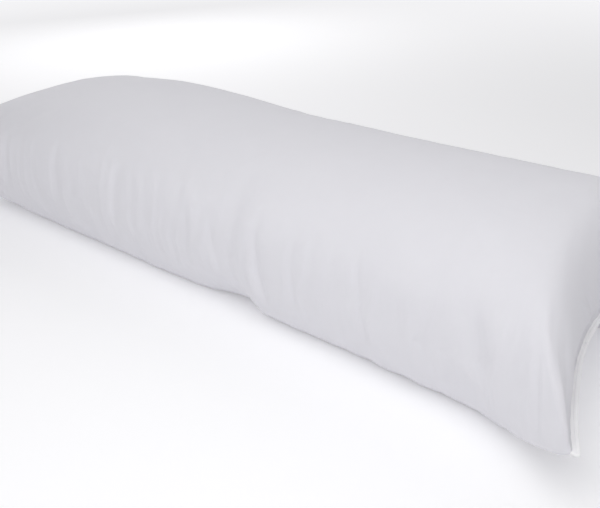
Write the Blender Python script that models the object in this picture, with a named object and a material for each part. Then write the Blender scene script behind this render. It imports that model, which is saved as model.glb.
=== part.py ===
"""Body pillow: a long stuffed cotton bag lying on its back, with a stitched closing lip at its near end.

Frame: metres, +X along the pillow towards the closing end, -Y the front long side, +Z up, floor at z = 0.
The cover is two cut panels, top and bottom, joined all round. Each panel starts as a flat grid of cloth and
every point of it is laid where the filling pushes it: across the pillow by an angle, along it by a station.
"""
import math

import bmesh
import bpy
from mathutils import Vector

# Driving sizes
LIP_WIDTH = 0.008           # the closing lip, out from the end seam
LIP_THICKNESS = 0.003       # four layers of cotton and the thread
LIP_OVERHANG = 0.003        # the lip runs on past the long side at both ears
LIP_SQUARE = 0.3            # share of the lip's width over which its ends step out
LIP_ROWS = (0.0, 0.3, 0.65, 1.0)
ROUND_ACROSS = 0.9          # 1 gives a plain ellipse across, less gives fuller sides
TOP_ROUNDNESS = 0.50        # 1 gives a plain ellipse upwards, less gives a flatter crown
BELLY_ROUNDNESS = 0.89
BELLY_SINK = 0.040          # how far the free belly would reach below the floor that flattens it
TUCK_FALLS = 3              # how fast the tuck under an end seam fades towards the ears

# The slow shape along the pillow, a row for each section
SECTION_COLUMNS = ("station", "front", "back", "crown", "widest")
SECTIONS = (
    (-0.669, 0.236, 0.236, 0.206, 0.090),
    (-0.600, 0.211, 0.211, 0.216, 0.091),
    (-0.500, 0.192, 0.191, 0.221, 0.091),
    (-0.400, 0.187, 0.184, 0.221, 0.091),
    (-0.300, 0.184, 0.186, 0.228, 0.091),
    (-0.200, 0.182, 0.185, 0.228, 0.091),
    (-0.100, 0.181, 0.183, 0.225, 0.091),
    (0.000, 0.180, 0.180, 0.221, 0.091),
    (0.060, 0.180, 0.180, 0.221, 0.091),
    (0.120, 0.180, 0.181, 0.222, 0.091),
    (0.180, 0.184, 0.182, 0.222, 0.091),
    (0.300, 0.184, 0.184, 0.223, 0.091),
    (0.400, 0.189, 0.188, 0.225, 0.091),
    (0.500, 0.191, 0.194, 0.225, 0.091),
    (0.560, 0.207, 0.206, 0.224, 0.091),
    (0.600, 0.223, 0.222, 0.226, 0.091),
    (0.640, 0.243, 0.239, 0.225, 0.090),
    (0.663, 0.249, 0.249, 0.225, 0.088),
)

# How each end closes: the reach of its seam at the ears, how blunt the end is, how far the seam is drawn in
# between the ears, how high it runs at the middle and at the ears, and how far the lower panel tucks in under it
END_COLUMNS = ("reach", "bluntness", "drawn_in", "seam_rise", "ear_rise", "tuck")
ENDS = {
    "near": (0.663, 15.0, 0.081, 0.113, 0.085, 0.170),
    "far": (0.669, 5.1, 0.066, 0.085, 0.085, 0.060),
}

# Creases in the stretched cloth, a row for each one. Each runs round the pillow from one angle to another
# (0 is the back, 90 the crown, 180 the front, 270 the underside) and from one station to another.
CREASE_COLUMNS = ("from_angle", "to_angle", "from_station", "to_station", "depth", "half_width")
CREASES = (
    (148, 206, 0.186, 0.174, 0.0045, 0.013),
    (156, 196, 0.252, 0.236, 0.0035, 0.013),
    (162, 192, 0.340, 0.342, 0.0020, 0.015),
    (154, 194, 0.514, 0.528, 0.0025, 0.016),
    (166, 192, 0.598, 0.600, 0.0020, 0.012),
    (144, 192, -0.272, -0.292, 0.0025, 0.015),
    (150, 188, -0.424, -0.432, 0.0030, 0.015),
)
# The fold that each ear makes beside its ridge, up the end face: measured back from the end seam
EAR_FOLD = {"at_ear": 0.008, "at_crown": 0.060, "from_turn": 4, "to_turn": 46, "depth": 0.005, "half_width": 0.018}
# The pinch low on the front: the cloth draws in slowly to its deepest line and comes out again at once
PINCH = {"starts": 0.000, "deepest": 0.126, "ends": 0.158, "from_angle": 182, "to_angle": 250, "depth": 0.013}

# Mesh density
ROWS = 56                   # rows of the grid from end to end, before those of the creases
ACROSS = 28                 # faces across each panel
LEAST_SPACING = 0.0055      # rows closer than this are left out, away from the ends
STEP_ALONG = 0.002          # small steps that give the direction square to the surface
STEP_ROUND = 0.02

COTTON_COLOUR = (0.83, 0.83, 0.86, 1.0)
COTTON_ROUGHNESS = 0.9


def clear_scene():
    for old in list(bpy.data.objects):
        bpy.data.objects.remove(old, do_unlink=True)


def section_value(station, column):
    """Reads one column of SECTIONS at a station, on a smooth curve through its rows."""
    index = SECTION_COLUMNS.index(column)
    stations = [row[0] for row in SECTIONS]
    values = [row[index] for row in SECTIONS]
    last = len(SECTIONS) - 1
    slopes = []
    for i in range(last + 1):
        before, after = max(i - 1, 0), min(i + 1, last)
        slopes.append((values[after] - values[before]) / (stations[after] - stations[before]))
    i = max(0, min(last - 1, sum(1 for s in stations if s <= station) - 1))
    span = stations[i + 1] - stations[i]
    t = (station - stations[i]) / span
    return (
        values[i] * (1 + 2 * t) * (1 - t) ** 2
        + slopes[i] * span * t * (1 - t) ** 2
        + values[i + 1] * t * t * (3 - 2 * t)
        + slopes[i + 1] * span * t * t * (t - 1)
    )


def end_value(station, column):
    """Reads one column of the end that a station belongs to."""
    return ENDS["near" if station >= 0 else "far"][END_COLUMNS.index(column)]


def hump(distance, half_width):
    """1 on the line of a crease, falling softly to 0 at its sides."""
    return math.cos(math.pi / 2 * min(1.0, abs(distance) / half_width)) ** 2


def window(angle, start, stop):
    """1 in the middle of a stretch of angles, fading to 0 at both of its ends."""
    middle, half = (start + stop) / 2, (stop - start) / 2
    return hump(angle - middle, half)


def crease_depth(station, degrees):
    """How far the creases, the ear folds and the pinch draw the cloth in at one point."""
    depth = 0.0
    for row in CREASES:
        crease = dict(zip(CREASE_COLUMNS, row))
        share = (degrees - crease["from_angle"]) / (crease["to_angle"] - crease["from_angle"])
        line = crease["from_station"] + (crease["to_station"] - crease["from_station"]) * share
        fade = window(degrees, crease["from_angle"], crease["to_angle"])
        depth += crease["depth"] * fade * hump(station - line, crease["half_width"])

    turn = degrees if degrees < 90 else 180 - degrees
    share = (turn - EAR_FOLD["from_turn"]) / (EAR_FOLD["to_turn"] - EAR_FOLD["from_turn"])
    set_back = EAR_FOLD["at_ear"] + (EAR_FOLD["at_crown"] - EAR_FOLD["at_ear"]) * share
    distance = end_value(station, "reach") - abs(station) - set_back
    fade = window(turn, EAR_FOLD["from_turn"], EAR_FOLD["to_turn"])
    depth += EAR_FOLD["depth"] * fade * hump(distance, EAR_FOLD["half_width"])

    side = PINCH["starts"] if station < PINCH["deepest"] else PINCH["ends"]
    across = hump(station - PINCH["deepest"], abs(side - PINCH["deepest"]))
    return depth + PINCH["depth"] * across * window(degrees, PINCH["from_angle"], PINCH["to_angle"])


def filled_point(station, angle):
    """Where the filling holds the cover, without its creases. The angle runs from the back over the crown."""
    reach = end_value(station, "reach")
    fraction = max(-1.0, min(1.0, station / reach))
    near_end = fraction ** 8
    closing = math.sqrt(1 - abs(fraction) ** end_value(station, "bluntness"))
    cosine, sine = math.cos(angle), math.sin(angle)
    across = math.copysign(abs(cosine) ** ROUND_ACROSS, cosine)
    between_ears = 1 - across ** 2

    y = across * section_value(station, "back" if cosine >= 0 else "front")
    x = fraction * (reach - end_value(station, "drawn_in") * between_ears * fraction ** 4)
    widest = section_value(station, "widest")
    ear_rise = end_value(station, "ear_rise")
    seam = ear_rise + (end_value(station, "seam_rise") - ear_rise) * between_ears
    middle = widest * (1 - near_end) + seam * near_end
    if sine >= 0:
        rise = section_value(station, "crown") - widest
        return Vector((x, y, middle + rise * closing * sine ** TOP_ROUNDNESS))
    down = -sine
    x -= math.copysign(end_value(station, "tuck") * closing * down ** TUCK_FALLS * near_end, station)
    z = middle - (widest + BELLY_SINK) * closing * down ** BELLY_ROUNDNESS
    return Vector((x, y, max(z, 0.0)))


def surface_point(station, angle):
    """A point of the creased cover: the filled form, drawn in square to its surface where a crease runs."""
    place = filled_point(station, angle)
    depth = crease_depth(station, math.degrees(angle) % 360)
    if depth > 0:
        along = filled_point(station + STEP_ALONG, angle) - filled_point(station - STEP_ALONG, angle)
        around = filled_point(station, angle + STEP_ROUND) - filled_point(station, angle - STEP_ROUND)
        place -= around.cross(along).normalized() * depth
    place.z = max(place.z, 0.0)
    return place


def row_stations():
    """Stations of the grid's rows: close together at the ends and over the creases."""
    rows = []
    for i in range(ROWS):
        fraction = math.sin(math.pi * (i / ROWS - 0.5))
        rows.append(fraction * end_value(fraction, "reach"))
    for row in CREASES:
        crease = dict(zip(CREASE_COLUMNS, row))
        line = (crease["from_station"] + crease["to_station"]) / 2
        rows += [line + crease["half_width"] * part for part in (-1, -0.5, 0, 0.5, 1)]
    rows += [PINCH["deepest"] + (PINCH["ends"] - PINCH["deepest"]) * part for part in (0, 0.33, 0.66, 1)]
    kept = []
    for station in sorted(rows):
        at_end = abs(station) > 0.93 * end_value(station, "reach")
        if not kept or at_end or station - kept[-1] >= LEAST_SPACING:
            kept.append(station)
    return kept


def lay_panel(mesh, stations, side):
    """One cut panel: a flat grid, then laid over the filling. side is 1 for the top, -1 for the bottom."""
    rows = len(stations) + len(LIP_ROWS)
    grid = bmesh.ops.create_grid(mesh, x_segments=rows - 1, y_segments=ACROSS, size=1.0)
    for vert in grid["verts"]:
        row = round((vert.co.x + 1) / 2 * (rows - 1))
        angle = side * math.pi * (1 - vert.co.y) / 2
        if row < len(stations):
            vert.co = surface_point(stations[row], angle)
            continue
        at_rim = abs(vert.co.y) > 0.999
        vert.co = lip_point(angle, LIP_ROWS[row - len(stations)], 0 if at_rim else side)
    if side < 0:
        faces = {face for vert in grid["verts"] for face in vert.link_faces}
        bmesh.ops.reverse_faces(mesh, faces=list(faces))


def lip_point(angle, out, side):
    """A point of the closing lip: out is 0 at its root on the end seam and 1 at its outer edge."""
    reach = end_value(1, "reach")
    x, y, z = filled_point(reach, abs(angle))
    half_width = section_value(reach, "back")
    across = y / half_width
    slope = 2 * end_value(1, "drawn_in") * across / half_width
    length = math.hypot(1.0, slope)
    x += LIP_WIDTH * out / length
    y += LIP_WIDTH * out * slope / length + LIP_OVERHANG * min(1.0, out / LIP_SQUARE) * across ** 5
    z += side * LIP_THICKNESS / 2 * (1 - out ** 4)
    return Vector((x, y, z))


def sew_cover():
    """Both panels in one mesh, joined round their rims."""
    mesh = bmesh.new()
    stations = row_stations()
    lay_panel(mesh, stations, 1)
    lay_panel(mesh, stations, -1)
    bmesh.ops.remove_doubles(mesh, verts=mesh.verts, dist=0.0001)
    return mesh


def stand_at_origin(mesh):
    """Moves the cover so that the middle of its footprint is the origin."""
    for axis in (0, 1):
        low = min(vert.co[axis] for vert in mesh.verts)
        high = max(vert.co[axis] for vert in mesh.verts)
        for vert in mesh.verts:
            vert.co[axis] -= (low + high) / 2


def cotton():
    material = bpy.data.materials.new("white_cotton")
    material.use_nodes = True
    shader = material.node_tree.nodes["Principled BSDF"]
    shader.inputs["Base Color"].default_value = COTTON_COLOUR
    shader.inputs["Roughness"].default_value = COTTON_ROUGHNESS
    shader.inputs["Metallic"].default_value = 0.0
    return material


def build():
    clear_scene()
    collection = bpy.data.collections.new("body_pillow")
    bpy.context.scene.collection.children.link(collection)
    cover = sew_cover()
    stand_at_origin(cover)
    data = bpy.data.meshes.new("pillow")
    cover.to_mesh(data)
    cover.free()
    data.shade_smooth()
    pillow = bpy.data.objects.new("pillow", data)
    pillow.data.materials.append(cotton())
    collection.objects.link(pillow)


build()
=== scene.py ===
# %% [markdown]
# # A stuffed body pillow, panel by panel
# The real thing is a long flat bag of closely woven white cotton. It is sewn on three sides, blown full of
# loose fibre, and closed at the near end with a flat stitched lip. Nothing holds its shape but the filling
# that pushes outwards and the cloth that can't stretch. So the lesson goes the same way round: cut two
# panels, lay them over the filling, let the cloth settle, crease it where the photograph creases it, then
# sew the lip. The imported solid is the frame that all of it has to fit, so it is loaded first.

# %% Load the fixed frame
import math

import bmesh
import bpy
import numpy as np
from mathutils import Matrix, Vector, noise


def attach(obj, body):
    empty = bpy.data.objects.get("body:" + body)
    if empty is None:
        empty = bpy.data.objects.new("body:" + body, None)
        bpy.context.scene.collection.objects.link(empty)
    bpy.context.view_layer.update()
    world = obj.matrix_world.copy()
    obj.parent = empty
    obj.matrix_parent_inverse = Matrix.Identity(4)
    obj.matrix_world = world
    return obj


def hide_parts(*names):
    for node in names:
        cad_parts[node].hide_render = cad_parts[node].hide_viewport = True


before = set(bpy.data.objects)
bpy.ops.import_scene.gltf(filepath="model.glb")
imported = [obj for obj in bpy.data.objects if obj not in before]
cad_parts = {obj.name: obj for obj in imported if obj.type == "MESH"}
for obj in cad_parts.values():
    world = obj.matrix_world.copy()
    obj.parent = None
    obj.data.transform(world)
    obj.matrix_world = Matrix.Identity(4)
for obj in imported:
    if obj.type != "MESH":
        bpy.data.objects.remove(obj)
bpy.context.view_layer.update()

# %% [markdown]
# ## The camera
# A picture of a soft thing is only comparable from the same place. The camera looks from the front and a
# little above, along the pillow, from so near that the near end looks far bigger than the far one. It
# could be pointed with a tracking constraint, but that would lose the roll of a degree or two that the
# photograph has, so its three axes are worked out here instead.

# %% Place the camera
VIEW_AZIMUTH = math.radians(42.735)  # from straight in front, round towards the near end
VIEW_HEIGHT = math.radians(25.582)
VIEW_ROLL = math.radians(-1.577)
VIEW_DISTANCE = 1.246
VIEW_TARGET = Vector((0.166, -0.085, 0.080))
LENS_MM = 53.12
FRAME_MM = 36.0  # width of the frame behind that lens


def add_object(name, data):
    """An object round its data, put into the scene."""
    made = bpy.data.objects.new(name, data)
    bpy.context.scene.collection.objects.link(made)
    return made


def add_camera():
    flat = math.cos(VIEW_HEIGHT)
    back = Vector((math.sin(VIEW_AZIMUTH) * flat, -math.cos(VIEW_AZIMUTH) * flat, math.sin(VIEW_HEIGHT)))
    level = (-back).cross(Vector((0, 0, 1))).normalized()
    upright = level.cross(-back)
    right = level * math.cos(VIEW_ROLL) + upright * math.sin(VIEW_ROLL)
    up = -level * math.sin(VIEW_ROLL) + upright * math.cos(VIEW_ROLL)
    place = VIEW_TARGET + back * VIEW_DISTANCE
    data = bpy.data.cameras.new("camera")
    data.sensor_width = FRAME_MM
    data.lens = LENS_MM
    camera = add_object("camera", data)
    camera.matrix_world = Matrix((
        (right.x, up.x, back.x, place.x),
        (right.y, up.y, back.y, place.y),
        (right.z, up.z, back.z, place.z),
        (0.0, 0.0, 0.0, 1.0),
    ))
    bpy.context.scene.camera = camera
    return place


eye = add_camera()
print("the camera stands at", tuple(round(v, 3) for v in eye))

# %% [markdown]
# ## Floor and light
# White cloth on a white ground shows only by its shading, so the light has to be soft but not even. Two
# broad round lights hang high before the long front side, the stronger one by the near end: the front side
# and the crown catch them, the drawn-in end face turns away and goes grey, and the far end falls off. A
# third stands behind the far end and clears the shadow on the floor. A white sky fills the rest. A sun
# lamp would be simpler, but its parallel light has no fall-off. The floor glows a little, and more with
# distance from the middle, the way a lit studio sweep does.

# %% Lay the floor and hang the lights
FLOOR_SIZE = 12.0
FLOOR_COLOUR = (0.93, 0.93, 0.94, 1.0)
GLOW_NEAR = 0.16  # strength of the floor's glow under the pillow
GLOW_FAR = 0.50
GLOW_FROM = 0.9  # metres from the middle where the glow starts to grow
GLOW_TO = 3.0
SKY_COLOUR = (0.99, 0.985, 1.0, 1.0)
SKY_STRENGTH = 0.485
LIGHT_AIM = (0.25, 0.0, 0.1)
LIGHT_SIZE = 1.2
LIGHT_COLUMNS = ("name", "place", "power")
LIGHTS = (
    ("near_window", (0.62, -0.65, 1.17), 5.6),
    ("middle_window", (0.25, -0.75, 1.17), 2.0),
    ("back_window", (-1.48, 1.00, 1.03), 7.3),
)


def set_inputs(node, values):
    for name, value in values.items():
        node.inputs[name].default_value = value


def new_material(name, values):
    """A material with its nodes, its links and its one shader, which is given some values."""
    material = bpy.data.materials.new(name)
    material.use_nodes = True
    nodes = material.node_tree.nodes
    shader = nodes["Principled BSDF"]
    set_inputs(shader, values)
    return material, nodes, material.node_tree.links, shader


def add_node(nodes, kind, values=None, **settings):
    """A new node. Its settings come before its values, since they decide which inputs it has."""
    node = nodes.new(kind)
    for name, setting in settings.items():
        setattr(node, name, setting)
    set_inputs(node, values or {})
    return node


def add_floor():
    bpy.ops.mesh.primitive_plane_add(size=FLOOR_SIZE, location=(0, 0, 0))
    floor = bpy.context.object
    floor.name = "pale_floor"
    surface = {"Base Color": FLOOR_COLOUR, "Roughness": 0.85, "Emission Color": FLOOR_COLOUR}
    paint, nodes, links, shader = new_material("pale_floor", surface)
    places = add_node(nodes, "ShaderNodeTexCoord")
    distance = add_node(nodes, "ShaderNodeVectorMath", operation="LENGTH")
    limits = {"From Min": GLOW_FROM, "From Max": GLOW_TO, "To Min": GLOW_NEAR, "To Max": GLOW_FAR}
    glow = add_node(nodes, "ShaderNodeMapRange", limits, interpolation_type="SMOOTHSTEP")
    links.new(places.outputs["Object"], distance.inputs[0])
    links.new(distance.outputs["Value"], glow.inputs["Value"])
    links.new(glow.outputs["Result"], shader.inputs["Emission Strength"])
    floor.data.materials.append(paint)


def add_lights():
    for row in LIGHTS:
        light = dict(zip(LIGHT_COLUMNS, row))
        data = bpy.data.lights.new(light["name"], "AREA")
        data.shape = "DISK"
        data.size = LIGHT_SIZE
        data.energy = light["power"]
        lamp = add_object(light["name"], data)
        lamp.location = light["place"]
        aim = Vector(LIGHT_AIM) - lamp.location
        lamp.rotation_euler = aim.to_track_quat("-Z", "Y").to_euler()
        lamp.visible_camera = False


def add_sky():
    world = bpy.data.worlds.new("studio")
    world.use_nodes = True
    set_inputs(world.node_tree.nodes["Background"], {"Color": SKY_COLOUR, "Strength": SKY_STRENGTH})
    bpy.context.scene.world = world


add_floor()
add_lights()
add_sky()
bpy.context.scene.view_settings.view_transform = "Standard"
print("lights:", [row[0] for row in LIGHTS])

# %% [markdown]
# ## The filled form
# A stuffed bag is round where it can be and flat where it lies. It could be sculpted, or blown up from a
# flat bag by simulation alone, but then its outline would be whatever the solver gives. Here the form is
# written as a few slow curves along the pillow (how wide, how high), and one rule for the section across
# it. A place on the cover is a station along the pillow and an angle round it: 0 is the back, a quarter
# turn is the crown, half a turn is the front, three quarters is the underside. Each end has its own row,
# since the closed near end is blunt with long soft ears and the far end is rounder.

# %% Write down the sections and the ends
SECTION_COLUMNS = ("station", "front", "back", "crown", "widest")
SECTIONS = np.array((
    (-0.669, 0.236, 0.236, 0.206, 0.090),
    (-0.600, 0.211, 0.211, 0.216, 0.091),
    (-0.500, 0.192, 0.191, 0.221, 0.091),
    (-0.400, 0.187, 0.184, 0.221, 0.091),
    (-0.300, 0.184, 0.186, 0.228, 0.091),
    (-0.200, 0.182, 0.185, 0.228, 0.091),
    (-0.100, 0.181, 0.183, 0.225, 0.091),
    (0.000, 0.180, 0.180, 0.221, 0.091),
    (0.060, 0.180, 0.180, 0.221, 0.091),
    (0.120, 0.180, 0.181, 0.222, 0.091),
    (0.180, 0.184, 0.182, 0.222, 0.091),
    (0.300, 0.184, 0.184, 0.223, 0.091),
    (0.400, 0.189, 0.188, 0.225, 0.091),
    (0.500, 0.191, 0.194, 0.225, 0.091),
    (0.560, 0.207, 0.206, 0.224, 0.091),
    (0.600, 0.223, 0.222, 0.226, 0.091),
    (0.640, 0.243, 0.239, 0.225, 0.090),
    (0.663, 0.249, 0.249, 0.225, 0.088),
))
END_COLUMNS = ("reach", "bluntness", "drawn_in", "seam_rise", "ear_rise", "tuck")
NEAR_END = (0.663, 15.0, 0.081, 0.113, 0.085, 0.170)
FAR_END = (0.669, 5.1, 0.066, 0.085, 0.085, 0.060)
ROUND_ACROSS = 0.9  # 1 is a plain ellipse across, less has fuller sides
TOP_ROUNDNESS = 0.50  # 1 is a plain ellipse upwards, less has a flatter crown
BELLY_ROUNDNESS = 0.89
BELLY_SINK = 0.040  # how far the free belly would hang below the floor that flattens it
TUCK_FALLS = 3  # power by which the end turns under towards the floor
END_TURN = 8  # power of the station by which the section takes the end's form
END_DRAW = 4  # and by which the end's middle is drawn in
NEAR_REACH = NEAR_END[0]
FAR_REACH = FAR_END[0]


def along_sections(column, stations):
    """Reads one column at many stations, on a smooth curve through the rows."""
    at = SECTIONS[:, 0]
    values = SECTIONS[:, SECTION_COLUMNS.index(column)]
    before = np.maximum(np.arange(len(at)) - 1, 0)
    after = np.minimum(np.arange(len(at)) + 1, len(at) - 1)
    slopes = (values[after] - values[before]) / (at[after] - at[before])
    i = np.clip(np.searchsorted(at, stations, side="right") - 1, 0, len(at) - 2)
    span = at[i + 1] - at[i]
    t = (stations - at[i]) / span
    start = values[i] * (1 + 2 * t) * (1 - t) ** 2 + slopes[i] * span * t * (1 - t) ** 2
    return start + values[i + 1] * t * t * (3 - 2 * t) + slopes[i + 1] * span * t * t * (t - 1)


def at_end(column, stations):
    """Reads one column of the end that each station belongs to."""
    index = END_COLUMNS.index(column)
    return np.where(stations >= 0, NEAR_END[index], FAR_END[index])


print(len(SECTIONS), "sections, widest", SECTIONS[:, 1].max() * 2, "m, highest", SECTIONS[:, 3].max(), "m")

# %% Place any point of the filled form
def filled(stations, angles):
    """Points of the cover where the filling holds it, before any crease."""
    reach = at_end("reach", stations)
    fraction = np.clip(stations / reach, -1, 1)
    near_end = fraction ** END_TURN
    closing = np.sqrt(np.maximum(0, 1 - np.abs(fraction) ** at_end("bluntness", stations)))
    cosine, sine = np.cos(angles), np.sin(angles)
    across = np.sign(cosine) * np.abs(cosine) ** ROUND_ACROSS
    between_ears = 1 - across ** 2

    half = np.where(cosine >= 0, along_sections("back", stations), along_sections("front", stations))
    y = across * half
    x = fraction * (reach - at_end("drawn_in", stations) * between_ears * fraction ** END_DRAW)
    widest = along_sections("widest", stations)
    ear_rise = at_end("ear_rise", stations)
    seam = ear_rise + (at_end("seam_rise", stations) - ear_rise) * between_ears
    middle = widest * (1 - near_end) + seam * near_end

    up = np.maximum(sine, 0)
    down = np.maximum(-sine, 0)
    x = x - np.sign(stations) * at_end("tuck", stations) * closing * down ** TUCK_FALLS * near_end
    top = (along_sections("crown", stations) - widest) * closing * up ** TOP_ROUNDNESS
    belly = (widest + BELLY_SINK) * closing * down ** BELLY_ROUNDNESS
    z = middle + np.where(sine >= 0, top, -belly)
    return np.stack([x, y, np.maximum(z, 0)], axis=-1)


girth = filled(np.zeros(400), np.linspace(0, 2 * math.pi, 400))
print("round the middle", round(np.linalg.norm(np.diff(girth, axis=0), axis=1).sum(), 3), "m")

# %% [markdown]
# ## Cut and lay the two panels
# Equal steps of the angle would leave long thin faces on the sides and crowd them at the ears. A cutter
# marks cloth by length, so each row of the grid is spaced evenly round the section, then each line along
# the pillow is spaced by its own length, closer near the ends where the small folds come. Both panels end
# on the same seams, so their rims fall on the same points and one merge sews them together. Every point
# also keeps its place on the flat panel, which the weave follows later.

# %% Space the rows and the columns by length of cloth
PANEL_LENGTH = 1.372
PANEL_WIDTH = 0.508
ROWS = 172
COLUMNS = 70
TRIALS = 500  # points of each line from which lengths are read
CLOSE_NEAR = 0.30  # spacing at the near end as a share of the middle's
CLOSE_FAR = 0.50
CLOSE_EDGE = 0.55  # and the same for the columns at the long edges
CLOSE_REACH = 0.15  # share of the length, or width, over which the lines draw together
TRIAL_SHARES = (1 - np.cos(np.linspace(0, math.pi, TRIALS))) / 2


def unit(vectors):
    return vectors / np.linalg.norm(vectors, axis=1, keepdims=True)


def lengths_along(points, axis):
    """The length from the first point to each one, along one axis of a grid of points."""
    steps = np.linalg.norm(np.diff(points, axis=axis), axis=-1)
    total = np.cumsum(steps, axis=axis)
    return np.insert(total, 0, 0, axis=axis)


def close_shares(count, at_start, at_stop):
    """Places from 0 to 1 for a number of lines, drawn closer together at the start and at the stop."""
    share = np.linspace(0, 1, TRIALS)
    inwards = np.clip(np.minimum(share, 1 - share) / CLOSE_REACH, 0, 1)
    closest = np.where(share < 0.5, at_start, at_stop)
    spacing = closest + (1 - closest) * inwards
    lines = np.insert(np.cumsum(1 / spacing[1:]), 0, 0)
    return np.interp(np.linspace(0, lines[-1], count), lines, share)


ROW_SHARES = close_shares(ROWS, CLOSE_FAR, CLOSE_NEAR)
COLUMN_SHARES = close_shares(COLUMNS + 1, CLOSE_EDGE, CLOSE_EDGE)


def panel_grid(side):
    """Stations and angles of one panel's points. side is 1 for the top, -1 for the bottom."""
    stations = (FAR_REACH + NEAR_REACH) * TRIAL_SHARES - FAR_REACH
    angles = side * math.pi * TRIAL_SHARES
    round_it = lengths_along(filled(stations[:, None], angles[None, :]), 1)
    spaced = np.array([np.interp(COLUMN_SHARES * row[-1], row, angles) for row in round_it])
    along_it = lengths_along(filled(stations[:, None], spaced), 0)
    grid_stations = np.empty((ROWS, COLUMNS + 1))
    grid_angles = np.empty((ROWS, COLUMNS + 1))
    for column in range(COLUMNS + 1):
        line = along_it[:, column]
        grid_stations[:, column] = np.interp(ROW_SHARES * line[-1], line, stations)
        grid_angles[:, column] = np.interp(ROW_SHARES * line[-1], line, spaced[:, column])
    return grid_stations, grid_angles


print("the last row is", round((1 - ROW_SHARES[-2]) * PANEL_LENGTH * 1000, 1), "mm from the near seam")

# %% Lay both panels and sew their rims
MERGE = 0.0001  # points closer than this are one point


def lay_panel(mesh, side):
    """A flat grid of cloth, each point laid over the filling and marked with its place."""
    station_mark = mesh.verts.layers.float.get("station")
    angle_mark = mesh.verts.layers.float_vector.get("round")
    cloth_mark = mesh.verts.layers.float_vector.get("cloth")
    stations, angles = panel_grid(side)
    points = filled(stations, angles)
    flat_x = (ROW_SHARES - 0.5) * PANEL_LENGTH
    flat_y = (0.5 - COLUMN_SHARES) * PANEL_WIDTH
    made = bmesh.ops.create_grid(mesh, x_segments=ROWS - 1, y_segments=COLUMNS, size=1.0)
    for vert in made["verts"]:
        row = round((vert.co.x + 1) / 2 * (ROWS - 1))
        column = round((1 - vert.co.y) / 2 * COLUMNS)
        vert.co = points[row, column]
        vert[station_mark] = stations[row, column]
        vert[angle_mark] = (math.cos(angles[row, column]), math.sin(angles[row, column]), 0)
        vert[cloth_mark] = (flat_x[row], flat_y[column], side)
    if side < 0:
        faces = {face for vert in made["verts"] for face in vert.link_faces}
        bmesh.ops.reverse_faces(mesh, faces=list(faces))


def sew_cover():
    mesh = bmesh.new()
    mesh.verts.layers.float.new("station")
    mesh.verts.layers.float_vector.new("round")
    mesh.verts.layers.float_vector.new("cloth")
    lay_panel(mesh, 1)
    lay_panel(mesh, -1)
    bmesh.ops.remove_doubles(mesh, verts=mesh.verts, dist=MERGE)
    data = bpy.data.meshes.new("cotton_pillow")
    mesh.to_mesh(data)
    mesh.free()
    data.shade_smooth()
    return add_object("cotton_pillow", data)


pillow = sew_cover()
print("the sewn cover has", len(pillow.data.vertices), "points and", len(pillow.data.polygons), "faces")

# %% [markdown]
# ## Draw the near seam in
# The formula gives the closed end one even curve. On the real pillow the stitching has drawn the cloth
# together a few millimetres further, most at the ears, and their tips hang a little lower than the rest.
# The table says how far the seam moves at each distance from the long edge. The cover follows it, less and
# less with distance from the seam.

# %% Move the near seam and the cloth beside it
HALF_LENGTH = PANEL_LENGTH / 2
HALF_WIDTH = PANEL_WIDTH / 2
SEAM_COLUMNS = ("from_edge", "inwards", "downwards")
NEAR_SEAM = np.array((
    (0.000, 0.0046, 0.0072),
    (0.012, 0.0046, 0.0072),
    (0.024, 0.0044, 0.0060),
    (0.041, 0.0043, 0.0036),
    (0.062, 0.0032, 0.0016),
    (0.085, 0.0022, 0.0004),
    (0.120, 0.0013, 0.0000),
    (0.160, 0.0007, 0.0000),
    (0.210, 0.0000, 0.0000),
    (0.254, 0.0000, 0.0000),
))
SEAM_HOLD = 0.050  # how far from the seam the cover still follows it
SEAM_LEAN = 0.65  # how much the pull turns towards the middle at the ears


def ramp(values, start, stop):
    """0 before start, 1 after stop, smooth between them. It runs downwards where stop is the smaller one."""
    t = np.clip((values - start) / (stop - start), 0, 1)
    return t * t * (3 - 2 * t)


def seam_moves(flat_x, flat_y):
    """How far points at these places of the flat panels move with the near seam."""
    from_edge = HALF_WIDTH - np.abs(flat_y)
    seam = dict(zip(SEAM_COLUMNS, NEAR_SEAM.T))
    inwards = np.interp(from_edge, seam["from_edge"], seam["inwards"])
    downwards = np.interp(from_edge, seam["from_edge"], seam["downwards"])
    lean = SEAM_LEAN * flat_y / HALF_WIDTH
    shorten = 1 / np.sqrt(1 + lean ** 2)
    moves = np.stack([-inwards * shorten, -inwards * shorten * lean, -downwards], axis=-1)
    return moves * ramp(HALF_LENGTH - flat_x, SEAM_HOLD, 0)[..., None]


print("the near seam is drawn in by up to", NEAR_SEAM[:, 1].max() * 1000, "mm")

# %% Helpers that read and write a mesh as arrays
def read(items, name, size=3, kind=np.float32):
    """One property of many items, as an array with a row for each item."""
    values = np.empty(len(items) * size, kind)
    items.foreach_get(name, values)
    return values.reshape(-1, size)


def read_points(mesh):
    return read(mesh.vertices, "co").astype(float)


def read_edges(mesh):
    return read(mesh.edges, "vertices", 2, np.int32)


def read_mark(mesh, name):
    """A mark that every point carries: one number for each point, or three."""
    mark = mesh.attributes[name]
    if mark.data_type == "FLOAT":
        return read(mark.data, "value", 1)[:, 0].astype(float)
    return read(mark.data, "vector").astype(float)


def write_points(mesh, points):
    mesh.vertices.foreach_set("co", points.astype(np.float32).ravel())
    mesh.update()


cloth = read_mark(pillow.data, "cloth")
moved = read_points(pillow.data) + seam_moves(cloth[:, 0], cloth[:, 1])
moved[:, 2] = np.maximum(moved[:, 2], 0)
write_points(pillow.data, moved)
print("marks on each point:", [a.name for a in pillow.data.attributes if a.domain == "POINT"])

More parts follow.
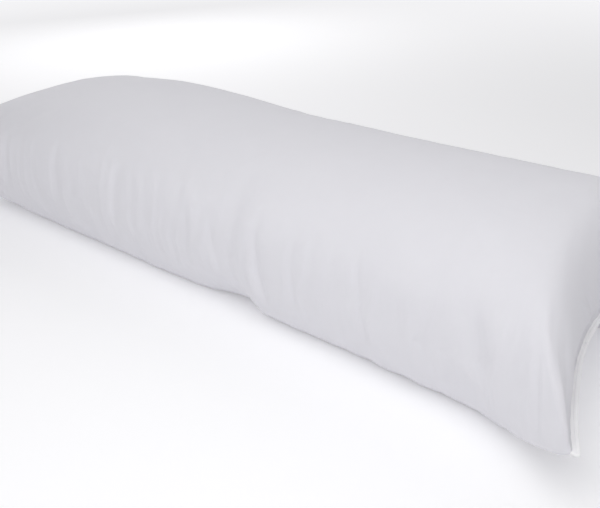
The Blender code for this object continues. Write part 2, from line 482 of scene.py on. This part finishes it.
# %% [markdown]
# ## Let the cloth settle
# Cloth that is laid by a formula is too perfect. The cloth solver pushes the cover outwards like the
# filling does, with the seams and the flat underside held, and the weave's stiffness turns the slack into
# shallow wrinkles. Left free it would swell past the outline, so only a part of the movement is kept: the
# broad swelling is taken out, and no point may travel further than a cap. The near end keeps least, since
# its folds are laid one by one further on.

# %% Settle the cover with pressure
SETTLE_FRAMES = 20
PRESSURE = 4.0
SLACK = 0.012  # share by which the cloth is larger than the form it lies on
SWELL_ROUNDS = 36  # rounds of averaging after which a movement counts as broad
WRINKLES_KEPT = 0.6  # share of the small movement that stays
WRINKLES_NEAR = 0.3  # and what is left of it at the near seam
NEAR_CALM = (0.05, 0.20)  # distances from the near seam over which it grows to the full share
CAP = 0.004  # no point travels further
HELD_HEIGHT = 0.0005  # points below it rest on the floor


def hold_group(cover):
    """Marks the points that the floor and the end seams hold."""
    mesh = cover.data
    stations = read_mark(mesh, "station")
    heights = read_points(mesh)[:, 2]
    held = (heights < HELD_HEIGHT) | (stations > NEAR_REACH - MERGE) | (stations < MERGE - FAR_REACH)
    group = cover.vertex_groups.new(name="held")
    group.add(np.nonzero(held)[0].tolist(), 1.0, "REPLACE")


def add_cloth(cover):
    solver = cover.modifiers.new("settle", "CLOTH")
    weave = solver.settings
    weave.quality = 5
    weave.mass = 0.3
    weave.tension_stiffness = 40
    weave.compression_stiffness = 40
    weave.shear_stiffness = 20
    weave.bending_stiffness = 0.5
    weave.tension_damping = 10
    weave.compression_damping = 10
    weave.shear_damping = 10
    weave.air_damping = 4
    weave.shrink_min = -SLACK
    weave.use_pressure = True
    weave.uniform_pressure_force = PRESSURE
    weave.vertex_group_mass = "held"
    weave.effector_weights.gravity = 0
    solver.collision_settings.use_collision = False
    solver.point_cache.frame_start = 1
    solver.point_cache.frame_end = SETTLE_FRAMES
    return solver


def smooth_over(mesh, values, rounds):
    """Averages values with their neighbours along the mesh's edges, several times over."""
    edges = read_edges(mesh)
    first, second = edges.T
    count = np.bincount(edges.ravel(), minlength=len(values))[:, None]
    for _ in range(rounds):
        total = np.zeros_like(values)
        for axis in range(values.shape[1]):
            total[:, axis] += np.bincount(first, values[second, axis], len(values))
            total[:, axis] += np.bincount(second, values[first, axis], len(values))
        values = (values + total / count) / 2
    return values


def settle(cover):
    before = read_points(cover.data)
    hold_group(cover)
    solver = add_cloth(cover)
    for number in range(1, SETTLE_FRAMES + 1):
        bpy.context.scene.frame_set(number)
    shown = cover.evaluated_get(bpy.context.evaluated_depsgraph_get())
    moved = read_points(shown.data) - before
    cover.modifiers.remove(solver)
    bpy.context.scene.frame_set(1)
    from_near = HALF_LENGTH - read_mark(cover.data, "cloth")[:, 0]
    share = WRINKLES_KEPT * (WRINKLES_NEAR + (1 - WRINKLES_NEAR) * ramp(from_near, *NEAR_CALM))
    kept = (moved - smooth_over(cover.data, moved, SWELL_ROUNDS)) * share[:, None]
    length = np.linalg.norm(kept, axis=1, keepdims=True)
    kept *= np.minimum(1, CAP / np.maximum(length, 1e-9))
    after = before + kept
    after[:, 2] = np.maximum(after[:, 2], 0)
    write_points(cover.data, after)
    print("settled: moved", np.round(np.percentile(np.linalg.norm(moved, axis=1), (50, 95, 100)) * 1000, 1),
          "mm, kept", np.round(np.percentile(np.linalg.norm(kept, axis=1), (50, 95, 100)) * 1000, 2), "mm")


settle(pillow)

# %% [markdown]
# ## Smooth the cover, keep the seams crisp
# One subdivision rounds the grid off and gives the creases enough points. It would also round off the two
# end seams and pull the ears in, so the edges of those seams are marked as creases first.

# %% Subdivide once
FAR_SEAM_CREASE = 0.7  # the far seam is a little softer than the near one


def crisp_seams(mesh):
    """Keeps the end seams and the tips of the ears from being rounded off."""
    stations = read_mark(mesh, "station")
    cloth = read_mark(mesh, "cloth")
    tips = (np.abs(cloth[:, 0]) > HALF_LENGTH - MERGE) & (np.abs(cloth[:, 1]) > HALF_WIDTH - MERGE)
    mesh.attributes.new("crease_vert", "FLOAT", "POINT").data.foreach_set("value", tips.astype(np.float32))
    crease = mesh.attributes.new("crease_edge", "FLOAT", "EDGE")
    ends = stations[read_edges(mesh)]
    values = np.zeros(len(mesh.edges), np.float32)
    values[(ends > NEAR_REACH - MERGE).all(axis=1)] = 1.0
    values[(ends < MERGE - FAR_REACH).all(axis=1)] = FAR_SEAM_CREASE
    crease.data.foreach_set("value", values)


def subdivide(cover):
    crisp_seams(cover.data)
    smoother = cover.modifiers.new("smooth", "SUBSURF")
    smoother.levels = smoother.render_levels = 1
    shown = cover.evaluated_get(bpy.context.evaluated_depsgraph_get())
    fine = bpy.data.meshes.new_from_object(shown)
    cover.modifiers.remove(smoother)
    coarse = cover.data
    cover.data = fine
    fine.name = "cotton_pillow"
    bpy.data.meshes.remove(coarse)


subdivide(pillow)
print("after one subdivision:", len(pillow.data.polygons), "faces")

# %% [markdown]
# ## Creases
# A crease in tight cotton is a soft trough with a faint shoulder on one side. Each row of the table is one
# line that runs round the pillow from one angle to another, bowed on its way. A line with its depth below
# nought is a soft ridge, and a wider pinch low on the front side has numbers of its own. They are pressed
# into the mesh along its normals, so that they catch the light as shape and belong to the mesh itself.

# %% Press in the creases that run round the pillow
CREASES = (  # from angle, to angle, from station, to station, bow, depth, half-width
    (146, 208, 0.184, 0.202, -0.018, 0.0042, 0.011),
    (153, 198, 0.258, 0.248, -0.012, 0.0038, 0.011),
    (138, 200, 0.004, 0.062, 0.014, -0.0024, 0.020),
    (162, 202, 0.068, 0.108, 0.004, 0.0024, 0.011),
    (156, 202, 0.334, 0.366, 0.004, 0.0022, 0.012),
    (158, 202, 0.394, 0.430, 0.002, 0.0015, 0.012),
    (144, 206, 0.498, 0.528, 0.000, 0.0026, 0.022),
    (144, 206, 0.534, 0.562, 0.000, -0.0024, 0.022),
    (150, 200, 0.597, 0.618, 0.000, 0.0027, 0.009),
    (146, 202, -0.272, -0.300, 0.008, 0.0025, 0.015),
    (142, 202, -0.424, -0.446, 0.014, 0.0028, 0.015),
    (148, 202, -0.116, -0.148, 0.004, 0.0026, 0.017),
)
SHOULDER = 0.35  # height of the shoulder as a share of the depth
SHOULDER_AWAY = 1.3  # and its distance from the line, in half-widths
PINCH = {"starts": 0.000, "deepest": 0.126, "ends": 0.158, "from_angle": 182, "to_angle": 250, "depth": 0.013}


def hump(distance, half_width):
    """1 on a line, falling softly to 0 at its sides."""
    return np.cos(math.pi / 2 * np.minimum(1, np.abs(distance) / half_width)) ** 2


def window(values, start, stop):
    return hump(values - (start + stop) / 2, (stop - start) / 2)


def crease_depth(stations, degrees):
    depth = np.zeros(len(stations))
    for from_angle, to_angle, from_station, to_station, bow, deepest, width in CREASES:
        share = (degrees - from_angle) / (to_angle - from_angle)
        line = from_station + (to_station - from_station) * share + bow * 4 * share * (1 - share)
        valley = hump(stations - line, width)
        shoulder = hump(stations - line + SHOULDER_AWAY * width, width)
        depth += deepest * window(degrees, from_angle, to_angle) * (valley - SHOULDER * shoulder)
    side = np.where(stations < PINCH["deepest"], PINCH["starts"], PINCH["ends"])
    drawn = hump(stations - PINCH["deepest"], np.abs(side - PINCH["deepest"]))
    return depth + PINCH["depth"] * drawn * window(degrees, PINCH["from_angle"], PINCH["to_angle"])


def press(cover, depth):
    """Moves every point inwards along its normal, a little evened out, and never below the floor."""
    depth = smooth_over(cover.data, depth[:, None], 1)
    points = read_points(cover.data) - read(cover.data.vertex_normals, "vector") * depth
    points[:, 2] = np.maximum(points[:, 2], 0)
    write_points(cover.data, points)


stations = read_mark(pillow.data, "station")
turned = read_mark(pillow.data, "round")
degrees = np.degrees(np.arctan2(turned[:, 1], turned[:, 0])) % 360
depths = crease_depth(stations, degrees)
press(pillow, depths)
print("deepest crease", round(depths.max() * 1000, 1), "mm")

# %% [markdown]
# ## Folds at the closed end
# The flat bag has square corners and the filling wants a round end, so the spare cloth of each corner is
# left standing as an ear. Seen closely it is a ridge that starts at the tip, climbs to the crown and dies
# out, with a narrow valley at its foot, a broad one beyond it, and a long one beside the lip. These are
# written on the flat panel, by the distance from the end seam and from the long edge, because that is
# where a fold of cloth is straight. Short folds that the seam's thread draws in have a table of their own.

# %% Fold the ears
RIDGE_CLIMB = 0.124  # how far from the seam the ridge would end
RIDGE_FALL = 0.062  # and how soon it gets there
EAR_COLUMNS = ("offset", "body_side", "seam_side", "depth")
EAR_LINES = (
    (0.0000, 0.0080, 0.0045, -0.0016),
    (0.0065, 0.0050, 0.0060, 0.0016),
    (0.0190, 0.0180, 0.0300, 0.0052),
    (0.0280, 0.0060, 0.0060, 0.0010),
)
SEAM_VALLEY = (-0.0070, 0.0180, 0.0070, 0.0022)  # the same columns, from the seam instead
EAR_STARTS = (0.001, 0.014)  # distances from edge and seam over which a fold grows
EAR_DIES = (0.125, 0.065)  # and from the edge, between which it dies out
VALLEY_STARTS = (0.035, 0.080)
FAR_EAR_SHARE = 0.5  # the far ears are softer


def trough(distance, row):
    """A line's depth at signed distances from the ridge, with a half-width of its own on each side."""
    fold = dict(zip(EAR_COLUMNS, row))
    past = distance - fold["offset"]
    return fold["depth"] * hump(past, np.where(past < 0, fold["body_side"], fold["seam_side"]))


def ear_depth(from_end, from_edge, share):
    """The ridge and the valleys of an ear, by distances on the flat panel."""
    line = RIDGE_CLIMB * (1 - np.exp(-from_edge / RIDGE_FALL))
    slope = RIDGE_CLIMB / RIDGE_FALL * np.exp(-from_edge / RIDGE_FALL)
    towards_seam = (line - from_end) / np.sqrt(1 + slope ** 2)
    strength = share * ramp(from_edge, *EAR_STARTS) * ramp(from_edge, *EAR_DIES) * ramp(from_end, *EAR_STARTS)
    depth = sum(trough(towards_seam, row) for row in EAR_LINES) * strength
    return depth + trough(-from_end, SEAM_VALLEY) * share * ramp(from_edge, *VALLEY_STARTS)


cloth = read_mark(pillow.data, "cloth")
from_end = HALF_LENGTH - np.abs(cloth[:, 0])
from_edge = HALF_WIDTH - np.abs(cloth[:, 1])
share = np.where(cloth[:, 0] > 0, 1.0, FAR_EAR_SHARE) * (cloth[:, 2] > 0)
press(pillow, ear_depth(from_end, from_edge, share))
print("ears folded over", int((share * (from_end < RIDGE_CLIMB)).astype(bool).sum()), "points")

# %% Draw in the short folds near the seam
FOLDS = (  # across and from the end where it starts, the same where it stops, depth, half-width
    (-0.066, 0.002, -0.112, 0.078, -0.0027, 0.0050),
    (-0.052, 0.002, -0.098, 0.085, 0.0030, 0.0060),
    (-0.040, 0.002, -0.060, 0.060, 0.0014, 0.0050),
    (0.020, 0.002, 0.032, 0.055, 0.0015, 0.0055),
    (0.085, 0.002, 0.120, 0.070, 0.0018, 0.0055),
    (0.150, 0.002, 0.180, 0.050, 0.0014, 0.0050),
    (-0.251, 0.004, -0.196, 0.034, 0.0012, 0.0045),
    (-0.250, 0.006, -0.180, 0.052, 0.0009, 0.0045),
    (-0.050, 0.206, -0.060, 0.170, 0.0007, 0.0050),
    (-0.068, 0.215, -0.078, 0.186, 0.0005, 0.0050),
    (-0.219, 0.086, -0.236, 0.074, 0.0008, 0.0070),
)
FOLD_STARTS = (-0.05, 0.25)  # shares of a fold's length over which it grows
FOLD_DIES = (1.05, 0.45)  # and over which it dies out


def fold_depth(across, from_end, top_near):
    """Straight short troughs on the top panel, each fading at both of its ends."""
    depth = np.zeros(len(across))
    for start_across, start_end, stop_across, stop_end, deepest, width in FOLDS:
        run = np.array((stop_across - start_across, stop_end - start_end))
        length = np.linalg.norm(run)
        offset = np.stack([across - start_across, from_end - start_end], axis=1)
        reached = offset @ run / length ** 2
        aside = np.abs(offset[:, 0] * run[1] - offset[:, 1] * run[0]) / length
        fade = ramp(reached, *FOLD_STARTS) * ramp(reached, *FOLD_DIES)
        depth += deepest * fade * hump(aside, width)
    return depth * top_near


top_near = (cloth[:, 2] > 0) & (cloth[:, 0] > 0)
press(pillow, fold_depth(cloth[:, 1], from_end, top_near))
print(len(FOLDS), "short folds")

# %% [markdown]
# ## Lumps, draws and puckers
# What is left is the small unevenness that no one draws by hand: loose fibre lies in soft lumps, tight
# cloth shows faint lines where it is drawn round the filling, and every seam puckers between its
# stitches. Smooth noise on the flat panel makes all of them, stretched to the shape of each: round for
# lumps, long across the pillow for the draws, short and square to the seam for the puckers, and fine for
# the crumple low on the front side, where the cloth is pushed up from the floor. Noise from
# mathutils has no random state, so each run gives the same pillow.

# %% Add the small unevenness
NOISE_COLUMNS = ("name", "along", "across", "height")
NOISES = (
    ("lumps", 0.130, 0.110, 0.0011),
    ("dents", 0.045, 0.045, 0.0005),
    ("draws", 0.011, 0.100, 0.0018),
    ("end_puckers", 0.070, 0.012, 0.0014),
    ("side_puckers", 0.016, 0.060, 0.0008),
    ("crumple", 0.019, 0.032, 0.0007),
)
SEED_STEP = 7.3  # each field is read this much further on in the noise
SEED_WAY = np.array((1.0, 2.3, -1.7))  # and in this direction
PUCKER_REACH = 0.020  # how far from a seam its puckers have died out to a third
BACK_SEAM_DEPTH = 0.0015
BACK_SEAM_WIDTH = 0.007
LUMPS_START = (0.00, 0.03)  # distances from the end seams over which lumps and draws grow
DRAWS_START = (0.02, 0.12)
TIPS_END = (0.002, 0.020)  # distances from the long edges: the tips stay on the seam
DRAWN_SIDE = (125, 235)  # angles of the front side between which the cloth is drawn
DRAWN_ELSEWHERE = 0.12  # share of the draws that all the rest keeps
CRUMPLED_SIDE = (145, 235)


def round_cloth(cloth, degrees):
    """The flat panels bent into a tube, so that noise there runs on from panel to panel."""
    turn = math.pi * (0.5 - cloth[:, 1] / PANEL_WIDTH) * np.where(degrees <= 180, 1, -1)
    radius = PANEL_WIDTH / math.pi
    return np.stack([cloth[:, 0], radius * np.cos(turn), radius * np.sin(turn)], axis=1)


def noise_over(tube, along, across, seed):
    """Smooth noise from -1 to 1 on the tube of cloth, with its grain stretched to two lengths."""
    scaled = tube / (along, across, across) + seed * SEED_WAY
    return np.array([noise.noise(Vector(place)) for place in scaled.tolist()])


def unevenness(cloth, degrees, from_end, from_edge):
    tube = round_cloth(cloth, degrees)
    fields = {}
    for seed, row in enumerate(NOISES):
        field = dict(zip(NOISE_COLUMNS, row))
        pattern = noise_over(tube, field["along"], field["across"], SEED_STEP * seed)
        fields[field["name"]] = field["height"] * pattern
    inner = ramp(from_end, *LUMPS_START)
    side_on = window(degrees, *DRAWN_SIDE) + DRAWN_ELSEWHERE
    to_back = HALF_WIDTH - cloth[:, 1]
    depth = (fields["lumps"] + fields["dents"]) * inner
    depth += fields["draws"] * side_on * ramp(from_end, *DRAWS_START)
    depth += fields["crumple"] * window(degrees, *CRUMPLED_SIDE) * inner
    depth += fields["end_puckers"] * np.exp(-from_end / PUCKER_REACH) * ramp(from_edge, *TIPS_END)
    depth += fields["side_puckers"] * np.exp(-to_back / PUCKER_REACH) * inner
    return depth + BACK_SEAM_DEPTH * hump(to_back, BACK_SEAM_WIDTH) * inner


press(pillow, unevenness(cloth, degrees, from_end, from_edge))
print("noises:", [row[0] for row in NOISES])

# %% [markdown]
# ## The closing lip
# After filling, the raw edges of both panels are folded in and stitched flat on each other. That leaves a
# flat lip outside the seam, two folds thick, which the camera sees almost edge-on as a bright strip with a
# dark line in it. Each fold is one small profile carried along the seam: wide enough to be held by the
# stitches, rounded at its outer edge, dented where the thread pulls. Where the fold slips to a narrower
# width the strip shows a step. The lower fold stands out a little further than the upper one.

# %% Follow the seam
LIP_STEPS = 300
CLOSE_LIP = 0.15  # spacing at the ears as a share of the middle's
LIP_COLUMNS = ("from_front_ear", "width")
LIP_WIDTHS = np.array((  # the fold slips to a narrower width a hand's breadth from the ear
    (0.000, 0.0086),
    (0.030, 0.0080),
    (0.050, 0.0068),
    (0.112, 0.0068),
    (0.120, 0.0054),
    (0.560, 0.0054),
))
LIP_ROOT = 0.004  # how far the lip runs back into the cover
LIP_OVERHANG = 0.0015  # it runs on past the ears
LIP_END = 0.0030  # length over which its corners are rounded
ROOT_END = 0.0120  # length over which its root narrows, to stay in the pointed ear
ROOT_LEFT = 0.2  # share of the root that is left at its very ends


def seam_frames():
    """Places along the near seam, from the front ear to the back ear, with the ways outwards and up there."""
    curve = filled(np.full(TRIALS, NEAR_REACH), math.pi * (1 - TRIAL_SHARES))
    lengths = lengths_along(curve, 0)
    curve = curve + seam_moves(np.full(TRIALS, HALF_LENGTH), (lengths / lengths[-1] - 0.5) * PANEL_WIDTH)
    lengths = lengths_along(curve, 0)
    even = close_shares(LIP_STEPS, CLOSE_LIP, CLOSE_LIP) * lengths[-1]
    places = np.stack([np.interp(even, lengths, curve[:, axis]) for axis in range(3)], axis=1)
    along = unit(np.gradient(places, even, axis=0))
    level = unit(np.stack([along[:, 1], -along[:, 0], np.zeros(LIP_STEPS)], axis=1))
    return places, level, np.cross(level, along), even


seam_places, seam_out, seam_up, seam_lengths = seam_frames()
print("the near seam is", round(seam_lengths[-1], 3), "m long")

# %% Fold the lip
PROFILE = (  # shares of the lip's width outwards, and of one fold's thickness upwards
    (-0.50, 0.10), (-0.50, 0.90), (0.00, 1.00), (0.25, 1.00), (0.38, 0.92), (0.45, 0.82),
    (0.52, 0.92), (0.65, 1.05), (0.82, 1.08), (0.94, 0.90), (1.00, 0.55), (0.97, 0.20),
    (0.88, 0.04), (0.45, 0.16), (0.20, 0.04),
)
FOLD_THICKNESS = 0.00135
FOLD_GAP = 0.00012
LOWER_STANDS_OUT = 0.0007
EDGE_WANDER = 0.0004  # how far the outer edge wanders, and over what length
EDGE_PITCH = 0.030
END_NARROWS = 0.30  # share by which the lip is narrower at its very ends
END_THINS = 0.65  # and thinner
PUFF = 0.25  # how much its thickness varies between the stitches
PUFF_PITCH = 0.007
OVERHANG_POWER = 12  # keeps the overhang to the last centimetres before the ears
OVERHANG_GROWS = 3  # it is full from a third of the width outwards
BENDS = (  # height, pitch and seed of the waves in which the lip lies
    (0.0005, 0.018, 4.0),
    (0.0009, 0.070, 9.0),
)
SHARP_ANGLE = math.radians(70)


def wander(pitch, seed):
    """A slow wave along the seam, from -1 to 1, that never repeats."""
    return np.array([noise.noise(Vector((length / pitch, seed, 0.5))) for length in seam_lengths])


LIP_BEND = sum(height * wander(pitch, seed) for height, pitch, seed in BENDS)
FROM_LIP_END = np.minimum(seam_lengths, seam_lengths[-1] - seam_lengths)
LIP_ROUND = np.sqrt(1 - (1 - np.clip(FROM_LIP_END / LIP_END, 0, 1)) ** 2)


def lip_width(side):
    table = dict(zip(LIP_COLUMNS, LIP_WIDTHS.T))
    width = np.interp(seam_lengths, table["from_front_ear"], table["width"])
    width = width + EDGE_WANDER * wander(EDGE_PITCH, side) + (LOWER_STANDS_OUT if side < 0 else 0)
    return width * (1 - END_NARROWS + END_NARROWS * LIP_ROUND)


def tube_faces(steps, count, inside_out):
    """The faces of a closed tube of so many rings, each of so many points."""
    faces = []
    for low in range(0, (steps - 1) * count, count):
        for i in range(count):
            j = (i + 1) % count
            faces.append((low + i, low + j, low + count + j, low + count + i))
    faces.append(tuple(range(count))[::-1])
    faces.append(tuple(range((steps - 1) * count, steps * count)))
    return [face[::-1] for face in faces] if inside_out else faces


def lip_fold(name, side):
    """One fold of the lip: side is 1 for the upper one and -1 for the lower one."""
    across = seam_places[:, 1]
    width = lip_width(side)
    puff = (1 + PUFF * wander(PUFF_PITCH, 2.0 + side)) * (1 - END_THINS + END_THINS * LIP_ROUND)
    reached = np.abs(across) / np.abs(across).max()
    overhang = LIP_OVERHANG * np.sign(across) * reached ** OVERHANG_POWER
    root = LIP_ROOT * (ROOT_LEFT + (1 - ROOT_LEFT) * np.minimum(1, FROM_LIP_END / ROOT_END))
    rings = []
    flats = []
    for share, height in PROFILE:
        out = width * share if share > 0 else root * share * 2
        rise = side * (FOLD_GAP + height * FOLD_THICKNESS * puff) + LIP_BEND * max(0.0, share)
        ring = seam_places + seam_out * out[:, None] + seam_up * rise[:, None]
        ring[:, 1] += overhang * min(1, max(0, share * OVERHANG_GROWS))
        rings.append(ring)
        flat = [HALF_LENGTH + out, seam_lengths - HALF_WIDTH, np.full(LIP_STEPS, side)]
        flats.append(np.stack(flat, axis=1))
    faces = tube_faces(LIP_STEPS, len(PROFILE), side < 0)
    data = bpy.data.meshes.new(name)
    data.from_pydata(np.stack(rings, axis=1).reshape(-1, 3).tolist(), [], faces)
    marks = data.attributes.new("cloth", "FLOAT_VECTOR", "POINT")
    marks.data.foreach_set("vector", np.stack(flats, axis=1).astype(np.float32).ravel())
    data.shade_smooth()
    data.set_sharp_from_angle(angle=SHARP_ANGLE)
    return add_object(name, data)


lip = [lip_fold("lip_upper_fold", 1), lip_fold("lip_lower_fold", -1)]
print("each fold has", len(lip[0].data.polygons), "faces")

# %% [markdown]
# ## Thread
# The lip is closed with a plain running stitch of three millimetres. Every stitch is a short piece of
# thread that dips into the cloth at both ends. Where the sewer tied off there is a small knot with two
# tails. They are thin tubes along short paths. A curve with a bevel would give the same form, but it would
# have to be turned into a mesh afterwards.

# %% Sew the lip and tie off
STITCH_PITCH = 0.0031
STITCH_LENGTH = 0.0024
STITCH_SHARE = 0.45  # the row's place on the lip, as a share of its width
THREAD_RADIUS = 0.00025
THREAD_SIDES = 6
STITCH_RISE = np.array((0.55, 1.02, 1.15, 1.02, 0.55))  # shares of a fold's thickness
STITCH_TAPER = np.array((0.6, 1.0, 1.0, 1.0, 0.6))
ROW_STARTS = 0.002  # how far from the ears the row of stitches starts and stops
ROW_STOPS = 0.004
KNOT_SHARE = 0.305  # the knot's place along the seam, from the front ear
KNOT_OUT = 0.62  # and on the lip, as a share of its width
KNOT_RISE = 1.3  # and above the seam, as a share of a fold's thickness
KNOT_RADIUS = 0.0009
KNOT_BLUNT = 0.05  # keeps its two ends from closing to a point
TAILS = ((0.0060, 0.8), (0.0045, -0.9))  # length, and the way it turns along the seam
TAIL_OUT = 0.55  # how far a tail runs on outwards, sways and sinks, in the same shares
TAIL_SWAY = 0.12
TAIL_SINK = 1.2
TAIL_THINNER = 0.8


def thread_tube(path, radii):
    """A closed round tube along a path, as its points and its faces numbered from nought."""
    along = np.gradient(path, axis=0)
    aside = unit(np.cross(along, (0.0, 0.0, 1.0)))
    over = unit(np.cross(aside, along))
    turn = np.linspace(0, 2 * math.pi, THREAD_SIDES, endpoint=False)[None, :, None]
    spokes = aside[:, None] * np.cos(turn) + over[:, None] * np.sin(turn)
    rings = path[:, None] + radii[:, None, None] * spokes
    return rings.reshape(-1, 3), tube_faces(len(path), THREAD_SIDES, True)


def on_lip(lengths, share, side, rise):
    """Points on one side of the lip, by length along the seam, share of the width and height above it."""
    def here(values):
        return np.stack([np.interp(lengths, seam_lengths, column) for column in values.T], axis=1)
    out = np.interp(lengths, seam_lengths, lip_width(side)) * share
    bend = np.interp(lengths, seam_lengths, LIP_BEND) * share
    lift = side * (FOLD_GAP + rise * FOLD_THICKNESS) + bend
    return here(seam_places) + here(seam_out) * out[:, None] + here(seam_up) * lift[:, None]


def sewing_thread():
    """All the stitches of both sides, the knot and its tails, as one mesh."""
    tubes = []
    for side in (1, -1):
        for start in np.arange(ROW_STARTS, seam_lengths[-1] - ROW_STOPS, STITCH_PITCH):
            lengths = start + np.linspace(0, STITCH_LENGTH, len(STITCH_RISE))
            path = on_lip(lengths, STITCH_SHARE, side, STITCH_RISE)
            tubes.append(thread_tube(path, THREAD_RADIUS * STITCH_TAPER))
    at = KNOT_SHARE * seam_lengths[-1]
    round_knot = np.linspace(-1, 1, 7)
    knot = on_lip(at + KNOT_RADIUS * round_knot, KNOT_OUT, 1, np.full(len(round_knot), KNOT_RISE))
    tubes.append(thread_tube(knot, KNOT_RADIUS * np.sqrt(1 + KNOT_BLUNT - round_knot ** 2)))
    for reach, turn in TAILS:
        run = np.linspace(0, 1, 9)
        shares = KNOT_OUT + TAIL_OUT * run + TAIL_SWAY * np.sin(5 * run + turn)
        tail = on_lip(at + reach * run * turn, shares, 1, KNOT_RISE - TAIL_SINK * run ** 2)
        tubes.append(thread_tube(tail, np.full(len(run), THREAD_RADIUS * TAIL_THINNER)))
    points = np.concatenate([tube[0] for tube in tubes])
    starts = np.cumsum([0] + [len(tube[0]) for tube in tubes])
    faces = [tuple(start + i for i in face) for start, tube in zip(starts, tubes) for face in tube[1]]
    data = bpy.data.meshes.new("lip_thread")
    data.from_pydata(points.tolist(), [], faces)
    data.shade_smooth()
    print("pieces of thread:", len(tubes))
    return add_object("lip_thread", data)


lip_thread = sewing_thread()

# %% [markdown]
# ## White cotton
# Percale is a plain weave: one thread over, one under, about four to the millimetre. From a step away it
# reads as a matt, faintly grainy white. The weave is two crossed waves on the cloth's own flat places, so
# the threads run along the pillow as they were cut. A slow noise varies the colour a little, as fibre
# shows through unevenly, and a soft sheen stands for the fine hairs at grazing angles. One layer over
# grey-white fibre lets some light through. The lip is four layers thick. Its cotton is painted whiter than
# the cover's as painted light, to make up for the light that the end face above it keeps off the lip.

# %% Mix the cotton
COTTON = (0.812, 0.807, 0.842)
COTTON_SHADE = (0.777, 0.772, 0.812)
# painted light: the hem's two whites are raised above the cotton's for the light the end face keeps off the
# lip
HEM_PAINTED_BRIGHT = (0.985, 0.983, 0.99)
HEM_SHADE_PAINTED_BRIGHT = (0.96, 0.958, 0.97)
SHEEN = 0.15
HEM_SHEEN = 0.50  # the turned edge is fuzzier
THREAD = 0.0006  # width of one thread as drawn, more than twice the real one
WEAVE_HEIGHT = 0.35  # the weave's share of the bump beside the slubs


def cotton(name, light, shade, sheen):
    """Plain weave cotton between two whites."""
    surface = {"Roughness": 0.9, "Specular IOR Level": 0.25, "Sheen Weight": sheen, "Sheen Roughness": 0.5}
    material, nodes, links, shader = new_material(name, surface)

    cloth = add_node(nodes, "ShaderNodeAttribute", attribute_name="cloth")
    scaled = add_node(nodes, "ShaderNodeVectorMath", {"Scale": math.pi / THREAD}, operation="SCALE")
    split = add_node(nodes, "ShaderNodeSeparateXYZ")
    weave = add_node(nodes, "ShaderNodeMath", operation="MULTIPLY")
    links.new(cloth.outputs["Vector"], scaled.inputs[0])
    links.new(scaled.outputs["Vector"], split.inputs[0])
    for number, axis in enumerate(("X", "Y")):
        wave = add_node(nodes, "ShaderNodeMath", operation="SINE")
        links.new(split.outputs[axis], wave.inputs[0])
        links.new(wave.outputs[0], weave.inputs[number])

    coordinates = add_node(nodes, "ShaderNodeTexCoord")
    slub = add_node(nodes, "ShaderNodeTexNoise", {"Scale": 170.0, "Detail": 4.0})
    height = add_node(nodes, "ShaderNodeMath", {1: WEAVE_HEIGHT}, operation="MULTIPLY_ADD")
    bump = add_node(nodes, "ShaderNodeBump", {"Strength": 0.45, "Distance": 0.0004})
    links.new(coordinates.outputs["Object"], slub.inputs["Vector"])
    links.new(weave.outputs[0], height.inputs[0])
    links.new(slub.outputs["Fac"], height.inputs[2])
    links.new(height.outputs[0], bump.inputs["Height"])
    links.new(bump.outputs["Normal"], shader.inputs["Normal"])

    cloud = add_node(nodes, "ShaderNodeTexNoise", {"Scale": 9.0, "Detail": 6.0, "Roughness": 0.75})
    whites = {"A": (*shade, 1.0), "B": (*light, 1.0)}
    mixed = add_node(nodes, "ShaderNodeMix", whites, data_type="RGBA")
    links.new(coordinates.outputs["Object"], cloud.inputs["Vector"])
    links.new(cloud.outputs["Fac"], mixed.inputs["Factor"])
    links.new(mixed.outputs["Result"], shader.inputs["Base Color"])
    return material


pillow.data.materials.clear()
pillow.data.materials.append(cotton("white_percale", COTTON, COTTON_SHADE, SHEEN))
# the hem material carries painted light: its whites are raised for the light the end face keeps off the lip
painted_bright_hem = cotton("white_percale_hem_painted_bright", HEM_PAINTED_BRIGHT, HEM_SHADE_PAINTED_BRIGHT, HEM_SHEEN)
for fold in lip:
    fold.data.materials.append(painted_bright_hem)
print("materials:", pillow.data.materials[0].name, painted_bright_hem.name)

# %% Mix the thread
THREAD_COLOUR = (0.84, 0.84, 0.86, 1.0)
PLY = 0.0007  # length of one turn of the thread's plies


def twisted_thread():
    """Smooth white sewing thread: its plies run round it as fine slanting ridges."""
    surface = {"Base Color": THREAD_COLOUR, "Roughness": 0.55}
    material, nodes, links, shader = new_material("white_thread", surface)
    coordinates = add_node(nodes, "ShaderNodeTexCoord")
    plies = add_node(nodes, "ShaderNodeTexWave", {"Scale": 1 / PLY / 3}, bands_direction="DIAGONAL")
    bump = add_node(nodes, "ShaderNodeBump", {"Strength": 0.4, "Distance": 0.0001})
    links.new(coordinates.outputs["Object"], plies.inputs["Vector"])
    links.new(plies.outputs["Fac"], bump.inputs["Height"])
    links.new(bump.outputs["Normal"], shader.inputs["Normal"])
    return material


lip_thread.data.materials.append(twisted_thread())
print("material:", lip_thread.data.materials[0].name)

# %% [markdown]
# ## Put the pieces on the body
# The cover stands for the plain solid, so it rides on the only body and replaces that node.

# %% Ride and replace
for piece in [pillow, lip_thread] + lip:
    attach(piece, "root")
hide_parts("pillow")
